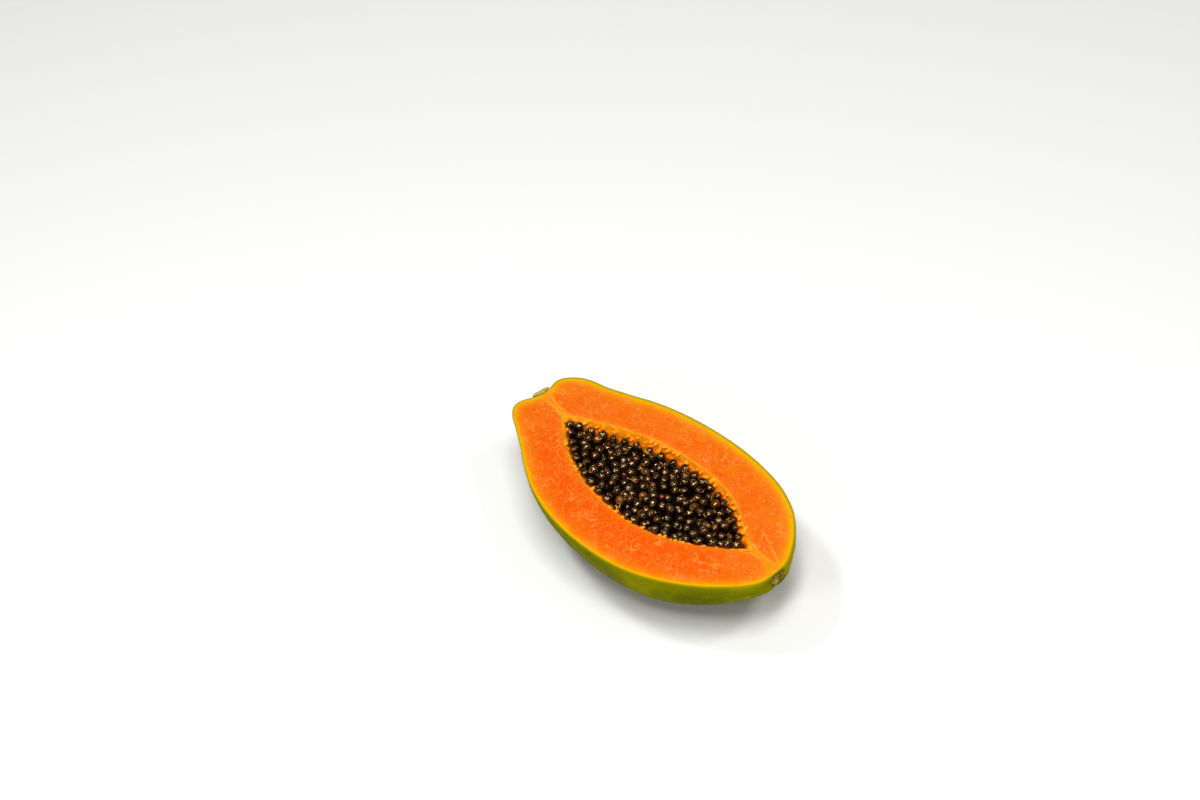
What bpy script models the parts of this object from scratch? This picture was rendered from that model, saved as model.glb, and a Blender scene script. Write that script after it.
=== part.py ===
"""Half of a ripe papaya, cut along its length and lying on its back, with its seeds and a stub of the stalk.

The long axis runs from the stem end at -X to the blossom end at +X. The cut face is level and looks up.
The origin is under the middle of the half, on the surface that it lies on.
"""
import math
import random

import bmesh
import bpy
import numpy as np
from mathutils import Euler, Matrix, Vector

MM = 0.001
SAME_PLACE = 0.0001 * MM

# Places along the fruit are distances from the stem end. Rows are in millimetres, and `rows_in_metres` turns
# them into metres.
STEM_END_X = -84.3 * MM
FACE_HEIGHT = 42.4 * MM

# One row for each place along the fruit: distance from the stem end, half width, and how far the middle of
# the width lies to the side of the part's centre line. The fruit bows a little: its ends lie to the far side.
FRUIT_ROWS = (
    (1.6, 0.0, 6.4),
    (0.3, 5.4, 6.3),
    (-1.5, 10.8, 5.8),
    (-0.6, 15.8, 5.6),
    (4.5, 21.0, 5.8),
    (12.0, 24.8, 5.2),
    (22.0, 29.1, 3.1),
    (35.0, 35.9, 0.6),
    (50.0, 42.4, -0.2),
    (70.0, 47.2, -0.5),
    (94.0, 48.9, -0.1),
    (115.0, 47.1, 0.6),
    (134.0, 41.7, 2.3),
    (150.0, 33.1, 3.6),
    (161.0, 23.5, 3.5),
    (168.0, 15.3, 2.8),
    (171.2, 9.8, 2.6),
    (171.7, 5.2, 3.4),
    (170.9, 4.2, 3.7),
    (170.7, 0.0, 4.1),
)
ROW_STEPS = 3
FRUIT_SIDES = 72

# Depth of the section as a share of its half width: full along the belly, flatter towards the blossom end.
FULL_DEPTH_SHARE = 0.885
END_DEPTH_SHARE = 0.65
DEPTH_TAPER_START = 120.0 * MM

# The cut passes just above the axis at the blossom end, so the whole blossom scar stays on this half.
AXIS_LENGTH = 170.0 * MM
BLOSSOM_DROP = 3.9 * MM
DROP_POWER = 4

# The shoulder on the near side of the stalk stands further out than the far one.
SHOULDER_SLANT = 0.11
SLANT_END = 40.0 * MM

# Five carpels: a faint swelling between them all along, and a crease between them near both ends.
CARPELS = 5
CREASE_ANGLE = math.radians(200.0)
CREASE_WIDTH = math.radians(9.0)
BELLY_LOBE = 0.007
BLOSSOM_CREASE = 1.5 * MM
BLOSSOM_CREASE_START = 130.0 * MM
STEM_CREASE = 1.1 * MM
STEM_CREASE_END = 36.0 * MM
CREASE_FULL_RADIUS = 13.0 * MM

# The seed cavity, open at the cut face: distance from the stem end, half width, side offset.
CAVITY_ROWS = (
    (18.6, 0.0, 3.4),
    (22.0, 2.4, 3.1),
    (28.0, 6.3, 1.9),
    (35.0, 10.8, 1.0),
    (50.0, 17.6, 0.6),
    (70.0, 23.2, 1.2),
    (92.0, 25.0, 1.6),
    (110.0, 23.0, 2.8),
    (125.0, 18.2, 3.5),
    (138.0, 10.3, 4.3),
    (148.0, 4.0, 5.0),
    (153.4, 0.0, 5.8),
)
CAVITY_STEPS = 2
CAVITY_SIDES = 44
CAVITY_DEPTH_SHARE = 0.9
CAVITY_LOBE = 0.03

# The seeds lie massed in the cavity, on a bed of seeds and pulp. The bed starts just under the cut on the
# near side and slopes down to the far side, where it lies deeper towards the stem end. Its depth is never
# more than a share of the cavity's own.
SEED_RADIUS = 2.4 * MM
SEED_SIDES = 7
SEED_RINGS = 4
SEED_SPREAD = 0.1
SEED_LENGTHENING = 1.1
SEED_SPACING = 4.3 * MM
SEED_CLEARANCE = 0.55 * MM
SEED_LIFT = 0.6 * MM
SEED_HEIGHT_JITTER = 0.8 * MM
EDGE_STEPS = 12
EDGE_MOVE = 0.25 * MM
EDGE_SPACING = (4.6 * MM, 6.4 * MM)
SCATTER_ATTEMPTS = 3500
BED_DEPTH_NEAR = 2.5 * MM
BED_DEPTH_FAR_STEM = 6.6 * MM
BED_DEPTH_FAR_BLOSSOM = 3.8 * MM
BED_DEEPEST_NEAR = 0.3
BED_DEEPEST_FAR = 0.55
BED_INSET = 0.9 * MM
BED_SIDES = 24
BED_SMALLEST_REACH = 3.0 * MM
BED_TIP = 0.6 * MM
RANDOM_SEED = 41

# The stub of the stalk sits in the hollow between the shoulders, halved by the same cut.
# Its profile gives shares of the radius, and heights in mm over the hollow. The first ones leave a small gap.
STUB_RADIUS = 5.0 * MM
STUB_SIDES = 40
STUB_LOBE = 0.06
STUB_PROFILE = (
    (0.0, 0.35),
    (0.45, 0.35),
    (0.85, 0.35),
    (1.0, 0.45),
    (1.05, 0.6),
    (1.0, 0.9),
    (0.86, 1.55),
    (0.62, 2.25),
    (0.35, 2.7),
    (0.0, 2.9),
)

SKIN_GREEN = (0.16, 0.22, 0.012, 1.0)
FLESH_ORANGE = (0.95, 0.17, 0.015, 1.0)
SEED_BLACK = (0.012, 0.008, 0.005, 1.0)
STALK_TAN = (0.42, 0.40, 0.12, 1.0)


def clear_scene():
    for item in list(bpy.data.objects):
        bpy.data.objects.remove(item, do_unlink=True)


def material(name, colour, roughness):
    finish = bpy.data.materials.new(name)
    finish.use_nodes = True
    shader = finish.node_tree.nodes["Principled BSDF"]
    shader.inputs["Base Color"].default_value = colour
    shader.inputs["Roughness"].default_value = roughness
    shader.inputs["Metallic"].default_value = 0.0
    return finish


def rows_in_metres(rows, steps):
    """A smooth curve through the rows, in metres along the part, with `steps` spans between two rows."""
    points = np.array(rows) * MM
    first = 2 * points[0] - points[1]
    last = 2 * points[-1] - points[-2]
    padded = np.vstack([first, points, last])
    curve = []
    for i in range(len(points) - 1):
        a, b, c, d = padded[i:i + 4]
        for k in range(steps):
            t = k / steps
            cubic = 3 * b - a - 3 * c + d
            square = 2 * a - 5 * b + 4 * c - d
            curve.append(b + 0.5 * ((c - a) * t + square * t ** 2 + cubic * t ** 3))
    curve.append(points[-1])
    return np.array(curve)


def fade(value, start, end):
    """0 at start, 1 at end, smooth between them."""
    t = min(max((value - start) / (end - start), 0.0), 1.0)
    return t * t * (3 - 2 * t)


def to_crease(angle):
    """Angle to the nearest of the creases."""
    step = 2 * math.pi / CARPELS
    return (angle - CREASE_ANGLE + step / 2) % step - step / 2


def crease_depth(along, half_width, angle):
    """How far the skin is drawn in at a crease."""
    blossom = BLOSSOM_CREASE * fade(along, BLOSSOM_CREASE_START, AXIS_LENGTH)
    stem = STEM_CREASE * fade(-along, -STEM_CREASE_END, 0.0)
    near_pole = min(half_width / CREASE_FULL_RADIUS, 1.0)
    return (blossom + stem) * near_pole * math.exp(-(to_crease(angle) / CREASE_WIDTH) ** 2)


def fruit_point(row, angle):
    """A point of the whole fruit's skin. Angle 0 is the far side and pi the near side, at the cut."""
    along, half_width, offset = row
    taper = max(along - DEPTH_TAPER_START, 0.0) / (AXIS_LENGTH - DEPTH_TAPER_START)
    share = FULL_DEPTH_SHARE + (END_DEPTH_SHARE - FULL_DEPTH_SHARE) * taper ** 2
    lobe = 1 - BELLY_LOBE * math.cos(CARPELS * to_crease(angle))
    crease = crease_depth(along, half_width, angle)
    y = offset + (half_width * lobe - crease) * math.cos(angle)
    axis_drop = BLOSSOM_DROP * max(along / AXIS_LENGTH, 0.0) ** DROP_POWER
    z = FACE_HEIGHT - axis_drop + (half_width * share * lobe - crease) * math.sin(angle)
    slant = SHOULDER_SLANT * (1 - fade(along, 0.0, SLANT_END))
    stem_offset = FRUIT_ROWS[0][2] * MM
    return Vector((STEM_END_X + along + slant * (y - stem_offset), y, z))


def cavity_point(row, angle, inset=0.0):
    """A point of the cavity's wall, or of a surface that lies `inset` inside it."""
    along, half_width, offset = row
    lobe = 1 - CAVITY_LOBE * math.cos(CARPELS * to_crease(angle))
    radius = max(half_width * lobe - inset, 0.0)
    y = offset + radius * math.cos(angle)
    z = FACE_HEIGHT + radius * CAVITY_DEPTH_SHARE * math.sin(angle)
    return Vector((STEM_END_X + along, y, z))


def loft(rows, sides, point):
    """A closed skin through the rings of the rows. The first and the last row are single points."""
    mesh = bmesh.new()
    rings = []
    for row in rows[1:-1]:
        rings.append([mesh.verts.new(point(row, 2 * math.pi * k / sides)) for k in range(sides)])
    start = mesh.verts.new(point(rows[0], 0.0))
    end = mesh.verts.new(point(rows[-1], 0.0))
    for k in range(sides):
        following = (k + 1) % sides
        mesh.faces.new((start, rings[0][following], rings[0][k]))
        mesh.faces.new((end, rings[-1][k], rings[-1][following]))
        for ring, beyond in zip(rings[:-1], rings[1:]):
            mesh.faces.new((ring[k], ring[following], beyond[following], beyond[k]))
    bmesh.ops.recalc_face_normals(mesh, faces=mesh.faces)
    return mesh


def cut_away(mesh, height, above):
    """Cut the mesh at this height, drop what lies on one side and close the cut."""
    normal = Vector((0.0, 0.0, 1.0 if above else -1.0))
    geometry = mesh.verts[:] + mesh.edges[:] + mesh.faces[:]
    plane = Vector((0.0, 0.0, height))
    result = bmesh.ops.bisect_plane(
        mesh, geom=geometry, dist=SAME_PLACE, plane_co=plane, plane_no=normal, clear_outer=True)
    edges = [item for item in result["geom_cut"] if isinstance(item, bmesh.types.BMEdge)]
    filled = bmesh.ops.contextual_create(mesh, geom=edges)
    bmesh.ops.recalc_face_normals(mesh, faces=mesh.faces)
    return filled["faces"]


def make_object(name, mesh, materials):
    data = bpy.data.meshes.new(name)
    mesh.to_mesh(data)
    mesh.free()
    for finish in materials:
        data.materials.append(finish)
    item = bpy.data.objects.new(name, data)
    bpy.context.scene.collection.objects.link(item)
    return item


def apply_boolean(item, operation, operand=None, collection=None):
    """Apply one Boolean to the object and remove what it was cut by or joined with."""
    modifier = item.modifiers.new("join", "BOOLEAN")
    modifier.operation = operation
    modifier.solver = "EXACT"
    if collection:
        modifier.operand_type = "COLLECTION"
        modifier.collection = collection
    else:
        modifier.object = operand
    view = bpy.context.evaluated_depsgraph_get()
    joined = bpy.data.meshes.new_from_object(item.evaluated_get(view))
    item.modifiers.clear()
    item.data = joined
    used = list(collection.objects) if collection else [operand]
    for helper in used:
        bpy.data.objects.remove(helper, do_unlink=True)
    if collection:
        bpy.data.collections.remove(collection)


def build_fruit_half(skin, flesh):
    """Skin and flesh grew as one, so they are one solid: green skin outside, orange where it is cut."""
    mesh = loft(rows_in_metres(FRUIT_ROWS, ROW_STEPS), FRUIT_SIDES, fruit_point)
    for face in mesh.faces:
        face.smooth = True
        face.material_index = 0
    for face in cut_away(mesh, FACE_HEIGHT, above=True):
        face.smooth = False
        face.material_index = 1
    for face in cut_away(mesh, 0.0, above=False):
        face.smooth = False
        face.material_index = 0
    half = make_object("fruit_half", mesh, (skin, flesh))
    cutter_mesh = loft(rows_in_metres(CAVITY_ROWS, CAVITY_STEPS), CAVITY_SIDES, cavity_point)
    for face in cutter_mesh.faces:
        face.smooth = True
        face.material_index = 1
    cutter = make_object("cavity_cutter", cutter_mesh, (skin, flesh))
    apply_boolean(half, "DIFFERENCE", operand=cutter)
    return half


def cavity_beside(x):
    """Distance from the stem end, half width and side offset of the cavity at this x."""
    along, half_widths, offsets = rows_in_metres(CAVITY_ROWS, CAVITY_STEPS).T
    place = x - STEM_END_X
    return place, np.interp(place, along, half_widths), np.interp(place, along, offsets)


def wall_reach(row):
    """How deep the cavity goes at this row, with room left under the bed."""
    return max(row[1] - BED_INSET, 0.0) * CAVITY_DEPTH_SHARE


def bed_depth(row, across):
    """Depth of the bed under the cut, where `across` goes from -1 on the near side to 1 on the far side."""
    start, end = CAVITY_ROWS[0][0] * MM, CAVITY_ROWS[-1][0] * MM
    share = (row[0] - start) / (end - start)
    far = BED_DEPTH_FAR_STEM + (BED_DEPTH_FAR_BLOSSOM - BED_DEPTH_FAR_STEM) * share
    far = min(far, BED_DEEPEST_FAR * wall_reach(row))
    near = min(BED_DEPTH_NEAR, BED_DEEPEST_NEAR * wall_reach(row))
    return near + (far - near) * (across + 1) / 2


def seed_place(x, y, lift):
    """The middle of a seed that lies on the bed at x, y, or None where that isn't in the cavity."""
    row = cavity_beside(x)
    across = (y - row[2]) / max(row[1], SAME_PLACE)
    depth = bed_depth(row, across) - lift
    if math.hypot(across, depth / max(wall_reach(row), SAME_PLACE)) >= 1:
        return None
    return Vector((x, y, FACE_HEIGHT - depth))


def wall_points():
    """Points all over the cavity's wall, to keep the seeds clear of it."""
    fine = rows_in_metres(CAVITY_ROWS, 3 * CAVITY_STEPS)
    angles = np.linspace(math.pi, 2 * math.pi, 3 * CAVITY_SIDES)
    return np.array([cavity_point(row, angle) for row in fine for angle in angles])


def is_free(place, wall, others, spacing):
    """True where a seed is clear of the wall and not too close to the seeds that are there already."""
    if np.linalg.norm(wall - np.array(place), axis=1).min() < SEED_RADIUS * SEED_LENGTHENING + SEED_CLEARANCE:
        return False
    return all((place - other).length > spacing for other in others)


def edge_places(wall, draw):
    """Seeds that lie along the edge of the cavity, each as near to the wall as it can."""
    places = []
    for along, half_width, offset in rows_in_metres(CAVITY_ROWS, EDGE_STEPS):
        for side in (-1, 1):
            spacing = draw.uniform(*EDGE_SPACING)
            for step in range(1, int(half_width / EDGE_MOVE)):
                y = offset + side * (half_width - step * EDGE_MOVE)
                place = seed_place(STEM_END_X + along, y, SEED_LIFT)
                if place and is_free(place, wall, (), 0.0):
                    if is_free(place, wall, places, spacing):
                        places.append(place)
                    break
    return places


def scattered_places(wall, places, draw):
    """The places and more of them all over the bed, at random but not too close to each other."""
    start, end = (STEM_END_X + CAVITY_ROWS[i][0] * MM for i in (0, -1))
    widest = max(row[1] + abs(row[2]) for row in CAVITY_ROWS) * MM
    for attempt in range(SCATTER_ATTEMPTS):
        lift = SEED_LIFT + draw.uniform(-1, 1) * SEED_HEIGHT_JITTER
        place = seed_place(draw.uniform(start, end), draw.uniform(-widest, widest), lift)
        if place and is_free(place, wall, places, SEED_SPACING):
            places.append(place)
    return places


def build_seeds(finish):
    """The seeds, fused to the bed of seeds and pulp under them, which fills the cavity's floor."""
    draw = random.Random(RANDOM_SEED)
    wall = wall_points()
    places = scattered_places(wall, edge_places(wall, draw), draw)
    bunch = bpy.data.collections.new("seed_bunch")
    for index, place in enumerate(places):
        size = SEED_RADIUS * (1 + draw.uniform(-1, 1) * SEED_SPREAD)
        turn = Euler([draw.uniform(0, math.pi) for axis in range(3)]).to_matrix().to_4x4()
        stretch = Matrix.Diagonal((size * SEED_LENGTHENING, size, size, 1.0))
        mesh = bmesh.new()
        place_and_turn = Matrix.Translation(place) @ turn @ stretch
        bmesh.ops.create_uvsphere(
            mesh, u_segments=SEED_SIDES, v_segments=SEED_RINGS, radius=1.0, matrix=place_and_turn)
        seed = make_object("seed_%d" % index, mesh, (finish,))
        bpy.context.scene.collection.objects.unlink(seed)
        bunch.objects.link(seed)
    rows = rows_in_metres(CAVITY_ROWS, CAVITY_STEPS)
    rows = [row for row in rows if wall_reach(row) > BED_SMALLEST_REACH]
    bed = make_object("seeds", loft(closed_ends(rows), BED_SIDES, bed_point), (finish,))
    apply_boolean(bed, "UNION", collection=bunch)
    return bed


def bed_point(row, turn):
    """A point of the bed. Up to pi it lies on top, going from far to near, and then it goes round under."""
    if row[1] < SAME_PLACE:
        return Vector((STEM_END_X + row[0], row[2], FACE_HEIGHT - bed_depth(row, 0)))
    far = 2 * math.pi - math.asin(bed_depth(row, 1) / wall_reach(row))
    near = math.pi + math.asin(bed_depth(row, -1) / wall_reach(row))
    if turn > math.pi:
        return cavity_point(row, near + (far - near) * (turn - math.pi) / math.pi, inset=BED_INSET)
    far_end = cavity_point(row, far, inset=BED_INSET)
    near_end = cavity_point(row, near, inset=BED_INSET)
    return far_end.lerp(near_end, turn / math.pi)


def closed_ends(rows):
    """The rows with a single point added before the first and after the last."""
    first = rows[0] * (1, 0, 1)
    last = rows[-1] * (1, 0, 1)
    return [first - (BED_TIP, 0, 0)] + list(rows) + [last + (BED_TIP, 0, 0)]


def stub_point(profile_row, angle):
    """A point of the stalk's stub, by its share of the radius and its height over the hollow it sits in."""
    share, height = profile_row
    hollow, first_ring = (np.array(row) * MM for row in FRUIT_ROWS[:2])
    lobe = 1 - STUB_LOBE * math.cos(CARPELS * to_crease(angle)) * share
    across = share * lobe * STUB_RADIUS / first_ring[1]
    seat = fruit_point(hollow + (first_ring - hollow) * across, angle)
    return seat - Vector((height * MM, 0.0, 0.0))


def build_stem_stub(finish):
    """The short stub left of the stalk, cut through with the fruit."""
    mesh = loft(STUB_PROFILE, STUB_SIDES, stub_point)
    for face in mesh.faces:
        face.smooth = True
    for face in cut_away(mesh, FACE_HEIGHT, above=True):
        face.smooth = False
    return make_object("stem_stub", mesh, (finish,))


clear_scene()
skin_material = material("papaya_skin", SKIN_GREEN, 0.42)
flesh_material = material("papaya_flesh", FLESH_ORANGE, 0.35)
build_fruit_half(skin_material, flesh_material)
build_seeds(material("papaya_seed", SEED_BLACK, 0.25))
build_stem_stub(material("papaya_stalk", STALK_TAN, 0.6))
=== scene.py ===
"""The looks of the halved papaya: orange flesh, green skin, a cavity full of glossy seeds, a stub of stalk.

The fruit, the cavity, the seeds and the stub follow the same values as the solids. Everything is in
metres, in the frame's axes: the stem end at -X, the blossom end at +X and the cut face up.
"""
import math
import random

import bpy
import numpy as np
from mathutils import Euler, Matrix, Vector, noise
from mathutils.kdtree import KDTree


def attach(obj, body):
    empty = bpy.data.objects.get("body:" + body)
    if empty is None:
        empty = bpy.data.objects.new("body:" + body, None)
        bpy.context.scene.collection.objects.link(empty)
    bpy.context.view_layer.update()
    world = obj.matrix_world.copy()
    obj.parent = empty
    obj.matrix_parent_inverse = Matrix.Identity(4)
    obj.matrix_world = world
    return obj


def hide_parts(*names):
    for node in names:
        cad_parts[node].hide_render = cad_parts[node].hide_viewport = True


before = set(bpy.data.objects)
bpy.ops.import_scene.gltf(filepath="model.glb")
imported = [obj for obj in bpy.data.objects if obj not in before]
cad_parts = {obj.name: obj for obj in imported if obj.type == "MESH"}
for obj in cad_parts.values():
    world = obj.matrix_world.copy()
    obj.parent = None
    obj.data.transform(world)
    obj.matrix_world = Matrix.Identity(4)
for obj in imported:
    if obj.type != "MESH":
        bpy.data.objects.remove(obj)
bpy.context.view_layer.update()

MM = 0.001
SAME_PLACE = 0.0001 * MM

# The fruit's values, as in the solids. Rows: distance from the stem end, half width, side offset, in mm.
STEM_END_X = -84.3 * MM
FACE_HEIGHT = 42.4 * MM
FRUIT_ROWS = (
    (1.6, 0.0, 6.4),
    (0.3, 5.4, 6.3),
    (-1.5, 10.8, 5.8),
    (-0.6, 15.8, 5.6),
    (4.5, 21.0, 5.8),
    (12.0, 24.8, 5.2),
    (22.0, 29.1, 3.1),
    (35.0, 35.9, 0.6),
    (50.0, 42.4, -0.2),
    (70.0, 47.2, -0.5),
    (94.0, 48.9, -0.1),
    (115.0, 47.1, 0.6),
    (134.0, 41.7, 2.3),
    (150.0, 33.1, 3.6),
    (161.0, 23.5, 3.5),
    (168.0, 15.3, 2.8),
    (171.2, 9.8, 2.6),
    (171.7, 5.2, 3.4),
    (170.9, 4.2, 3.7),
    (170.7, 0.0, 4.1),
)
FULL_DEPTH_SHARE = 0.885
END_DEPTH_SHARE = 0.65
DEPTH_TAPER_START = 120.0 * MM
AXIS_LENGTH = 170.0 * MM
BLOSSOM_DROP = 3.9 * MM
DROP_POWER = 4
SHOULDER_SLANT = 0.11
SLANT_END = 40.0 * MM
CARPELS = 5
CREASE_ANGLE = math.radians(200.0)
CREASE_WIDTH = math.radians(9.0)
BELLY_LOBE = 0.007
BLOSSOM_CREASE = 1.5 * MM
BLOSSOM_CREASE_START = 130.0 * MM
STEM_CREASE = 1.1 * MM
STEM_CREASE_END = 36.0 * MM
CREASE_FULL_RADIUS = 13.0 * MM
CREASE_TOP = (0.15, 0.5)

CAVITY_ROWS = (
    (18.6, 0.0, 3.4),
    (22.0, 2.4, 3.1),
    (28.0, 6.3, 1.9),
    (35.0, 10.8, 1.0),
    (50.0, 17.6, 0.6),
    (70.0, 23.2, 1.2),
    (92.0, 25.0, 1.6),
    (110.0, 23.0, 2.8),
    (125.0, 18.2, 3.5),
    (138.0, 10.3, 4.3),
    (148.0, 4.0, 5.0),
    (153.4, 0.0, 5.8),
)
CAVITY_STEPS = 2
CAVITY_SIDES = 44
CAVITY_DEPTH_SHARE = 0.9
CAVITY_LOBE = 0.03

SEED_RADIUS = 2.4 * MM
SEED_LENGTHENING = 1.1
SEED_SPACING = 4.3 * MM
SEED_CLEARANCE = 0.55 * MM
SEED_LIFT = 0.6 * MM
SEED_HEIGHT_JITTER = 0.8 * MM
EDGE_STEPS = 12
EDGE_MOVE = 0.25 * MM
EDGE_SPACING = (4.6 * MM, 6.4 * MM)
SCATTER_ATTEMPTS = 3500
BED_DEPTH_NEAR = 2.5 * MM
BED_DEPTH_FAR_STEM = 6.6 * MM
BED_DEPTH_FAR_BLOSSOM = 3.8 * MM
BED_DEEPEST_NEAR = 0.3
BED_DEEPEST_FAR = 0.55
BED_INSET = 0.9 * MM
RANDOM_SEED = 41

STUB_RADIUS = 5.0 * MM
STUB_LOBE = 0.06
STUB_PROFILE = (
    (0.0, 0.35),
    (0.45, 0.35),
    (0.85, 0.35),
    (1.0, 0.45),
    (1.05, 0.6),
    (1.0, 0.9),
    (0.86, 1.55),
    (0.62, 2.25),
    (0.35, 2.7),
    (0.0, 2.9),
)

# The camera sees the half as the photo does. The roll stands for the half's tilt there.
VIEW_AZIMUTH = math.radians(51.99)
VIEW_ELEVATION = math.radians(45.0)
VIEW_ROLL = math.radians(-6.0)
VIEW_DISTANCE = 1427.1 * MM
VIEW_TARGET = Vector((-58.46, 23.04, 42.4)) * MM
LENS = 85.0

# How finely the looks are meshed.
FRUIT_FINE_STEPS = 24
CAVITY_FINE_STEPS = 8
SKIN_ROWS = 420
SKIN_COLUMNS = 150
FACE_STEPS = 56
WALL_STEPS = 36
RISE_ROUNDS = 12

# Paler lines on the cut face, in mm along and across the part. At the stem end they fan out from the
# stalk, at the blossom end they close on the scar. The tissue along the core, between them, is amber.
VEINS = (
    ((-82.6, 9.8), (-76.9, 7.3), (-72.5, 6.0), (-68.0, 5.5), (-62.7, 6.0)),
    ((-82.3, 3.8), (-76.3, 4.0), (-70.0, 3.8), (-65.0, 2.2), (-60.4, -0.4)),
    ((-82.1, 10.3), (-79.5, 11.2), (-76.8, 12.6), (-72.9, 15.1)),
    ((-82.6, 3.5), (-83.2, 1.4), (-84.0, -0.4), (-82.8, -2.2)),
    ((66.4, 8.4), (72.2, 6.6), (78.7, 6.3), (83.9, 6.7)),
    ((66.4, 16.4), (72.3, 14.1), (77.4, 11.6), (82.7, 8.8)),
    ((65.2, 0.9), (70.0, 3.8), (74.9, 4.0), (79.8, 2.7), (83.9, 0.1)),
)
CORES = (
    ((-82.7, 8.6), (-76.6, 5.9), (-71.0, 4.9), (-65.7, 3.4)),
    ((-82.7, 5.2), (-76.6, 5.2), (-71.0, 4.9)),
    ((69.1, 5.8), (75.0, 5.4), (80.0, 5.2), (85.0, 5.4)),
    ((77.0, 4.8), (81.0, 3.4), (85.4, 1.2)),
)

# The seeds as they show: a little smaller than the solids', with others in the gaps and deeper down.
# Layers under the top one: radius, depth, spacing, room kept from the wall and number of tries.
SHOWN_RADIUS = 2.2 * MM
SHOWN_SPREAD = 0.13
SHOWN_LENGTHS = (1.02, 1.2)
SEED_LAYERS = (
    (1.9 * MM, 1.7 * MM, 4.1 * MM, 2.6 * MM, 3000),
    (1.8 * MM, 4.0 * MM, 4.1 * MM, 2.2 * MM, 1500),
)
SEED_VARIANTS = 8
SEED_LINES = 19
SEED_COLUMNS = 26
SEED_RING = 0.05
SEED_RING_ANGLE = math.radians(26.0)
SEED_RING_WIDTH = math.radians(7.0)
SEED_DIMPLE = 0.07
SEED_TILT = 0.5
SEED_EGG = 0.06
SEED_LUMPS = (0.06, 0.9)
SEED_WRINKLES = (0.015, 0.4)
SCAR_RISE = (math.radians(-20.0), math.radians(90.0))

# The pulp that the seeds lie in, the lumps of it along the wall, the torn edges of sacs and drops of jelly.
BED_LINES = 220
BED_COLUMNS = 90
BED_SINK = 1.6 * MM
BED_RISE = 2.3 * MM
BED_RISE_WIDTH = 2.7 * MM
BED_WAVE = 0.7 * MM
BED_WAVE_SIZE = 2.6 * MM
BED_HEADROOM = 0.8 * MM
LUMPS = 150
LUMPS_ON_FAR_SIDE = 0.55
LUMP_DEPTHS = (1.1 * MM, 5.0 * MM)
LUMP_RADII = (0.7 * MM, 1.3 * MM)
LUMP_LENGTHS = (1.3, 2.6)
LUMP_SINK = 0.2
LUMP_WAVES = (0.14, 0.9)
LUMP_FLATNESS = 0.8
LUMP_TURN = math.pi / 7
LUMP_LINES = 13
LUMP_COLUMNS = 18
SACS = 120
SAC_LINES = 18
SAC_SIDES = 7
SAC_REACH = (0.9, 1.08)
SAC_SWEEP = (math.radians(50.0), math.radians(160.0))
SAC_TILT = 0.8
SAC_RADII = (0.16 * MM, 0.34 * MM)
SAC_WAVE = 0.12
SAC_SWING = 0.5
SAC_LIFT = 0.4
DROPS = 46
DROP_RADII = (0.6 * MM, 1.15 * MM)
DROP_WAVES = (0.3, 0.9)
DROP_LIFT = 0.35

STUB_LINES = 60
STUB_COLUMNS = 90
STUB_RIBS = 0.07 * MM
STUB_RIB_COUNT = 26

# Relief of the cut face, the cavity's wall and the skin. The face keeps calm this near to its edges. The
# cavity's row beside a point of the rim is found by its place and by its length along the rim, in shares.
FACE_WAVE = 0.10 * MM
FACE_WAVE_SIZE = 9.0 * MM
FACE_CALM = 4.0 * MM
PLACE_SHARE = 0.7
LENGTH_SHARE = 0.3
FACE_LIP = 0.35 * MM
LIP_WIDTH = 0.7 * MM
SKIN_WAVE = 0.22 * MM
SKIN_WAVE_SIZE = 17.0 * MM
PULP_RELIEF = 1.5 * MM
PULP_GRAIN = 4.2 * MM
PULP_COARSE = 0.6
PULP_FINE = 0.4
PULP_START = 2.5 * MM
PULP_LIMIT = 0.5

# Patterns: the rim's colours run over this many mm, and further on the far side. The flesh is paler to
# both ends and to the far side, by these distances in mm. Threads, painted highlights each with a darker
# line of painted shade beside it: size in mm, width, seed and strength.
RIM_RAMP = 12.0
FAR_RIM_SHARE = 1.8
END_DISTANCE = 75.0
SIDE_DISTANCE = 70.0
FLESH_HIGHLIGHT_THREADS = (
    (6.5, 0.022, 1.0, 0.75),
    (8.0, 0.018, 2.0, 0.75),
    (5.2, 0.026, 3.0, 0.6),
    (7.2, 0.020, 4.0, 0.7),
    (9.0, 0.016, 5.0, 0.7),
    (6.0, 0.022, 6.0, 0.6),
)
# Dots on the skin: distance between them in mm, their radius as a share of it, seed, colour and strength.
SKIN_DOTS = (
    (4.5, 0.13, 1.0, (52, 66, 8), 0.75),
    (7.0, 0.08, 2.0, (188, 178, 70), 0.6),
)

# The stage. Lights: name, place, size and power. The light level is how bright a white sheet is on the floor.
FLOOR_SIZE = 8.0
LIGHT_TARGET = Vector((0.0, 0.0, 0.03))
FLOOR_COLOUR = (246, 246, 245)
WORLD_STRENGTH = 0.16
LIGHT_LEVEL = 1.29
LIGHTS = (
    ("overhead", (0.34, -0.18, 1.38), (0.4, 0.4), 8.0),
    ("right", (0.62, 0.45, 1.2), (0.25, 0.25), 4.0),
    ("near", (0.45, -0.5, 1.25), (0.25, 0.25), 5.0),
    ("left", (-0.55, -0.3, 1.2), (0.22, 0.22), 4.5),
    ("front", (0.1, -0.95, 0.7), (0.25, 0.25), 2.5),
)


def srgb(red, green, blue, light=LIGHT_LEVEL):
    """A colour as it shows on the screen under the stage's light, 0 to 255, as linear values."""
    values = np.array([red, green, blue]) / 255.0
    linear = np.where(values <= 0.04045, values / 12.92, ((values + 0.055) / 1.055) ** 2.4)
    return tuple(linear / light) + (1.0,)


# Curves and fades


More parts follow.
